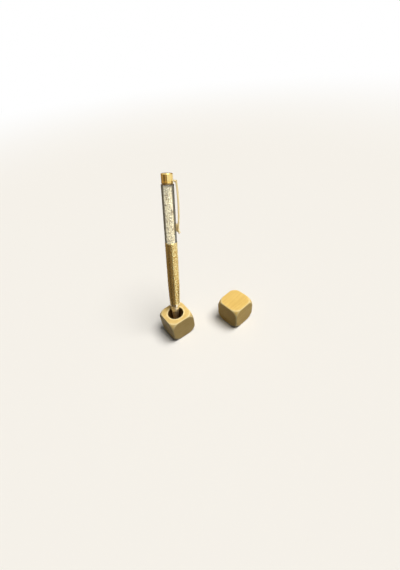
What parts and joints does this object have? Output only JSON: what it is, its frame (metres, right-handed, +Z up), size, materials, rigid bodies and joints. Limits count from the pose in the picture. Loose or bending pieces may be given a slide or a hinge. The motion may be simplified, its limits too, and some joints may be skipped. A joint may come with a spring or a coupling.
{
  "type": "pen stand",
  "caption": "Rounded wooden block with a round bore that holds a leaning gold twist pen with a crystal-filled clear window, beside a matching block turned over.",
  "frame": {"origin": "centre of the pen block's underside, on the desk", "axes": "+Z up from the desk, +X and +Y square to the pen block's side faces"},
  "size_m": [0.0804, 0.0729, 0.144],
  "materials": {
    "sanded_wood": "satin, sanded and oiled",
    "engraved_gold": "gold anodised, engraved relief",
    "polished_gold": "gold anodised, polished",
    "gold_brass": "polished",
    "silvered_brass": "polished, silvered",
    "clip_steel": "gold plated",
    "clear_acrylic": "clear, polished",
    "crystal": "clear, faceted",
    "works_plastic": "moulded",
    "bright_steel": "bright",
    "refill_brass": "drawn",
    "ink_paste": "paste"
  },
  "bodies": {
    "block": {"pen_block": "sanded_wood"},
    "pen_lower": {"nose_cone": "gold_brass", "tip_ring": "silvered_brass", "lower_barrel": "engraved_gold", "nose_bush": "refill_brass", "twist_housing": "works_plastic"},
    "pen_upper": {"cam_sleeve": "works_plastic", "retaining_ring": "bright_steel", "lower_plug": "works_plastic", "window_tube": "clear_acrylic", "crystals": "crystal", "cap_collar": "polished_gold", "top_plug": "works_plastic", "end_cap": "polished_gold", "clip_root": "clip_steel"},
    "clip": {"clip_arm": "clip_steel", "clip_pad": "clip_steel"},
    "refill": {"writing_ball": "bright_steel", "refill_point": "refill_brass", "refill_tube": "refill_brass", "refill_ink": "ink_paste", "follower": "works_plastic", "follower_pin": "bright_steel"},
    "spare": {"spare_block": "sanded_wood"}
  },
  "joints": [
    {"name": "pen_lift", "type": "slide", "parent": "block", "child": "pen_lower", "axis": [0.2428, 0.2066, 0.9478], "range_m": [0, 0.06]},
    {"name": "twist", "type": "hinge", "parent": "pen_lower", "child": "pen_upper", "pos_m": [0.0187, 0.01731, 0.09061], "axis": [0.2428, 0.2066, 0.9478], "range_deg": [0, 180]},
    {"name": "refill_travel", "type": "slide", "parent": "pen_lower", "child": "refill", "axis": [0.2428, 0.2066, 0.9478], "range_m": [0, 0.0055]},
    {"name": "clip_flex", "type": "hinge", "parent": "pen_upper", "child": "clip", "pos_m": [0.03528, 0.02244, 0.13705], "axis": [-0.6917, -0.6482, 0.3185], "range_deg": [0, 6], "stiffness_Nm_per_rad": 0.02},
    {"name": "spare_slide", "type": "slide", "parent": "block", "child": "spare", "axis": [0.9006, -0.4346, 0], "range_m": [-0.02, 0.06]}
  ],
  "couplings": [
    {"joint": "twist", "follows": "refill_travel", "rad_per_m": 571.2}
  ]
}
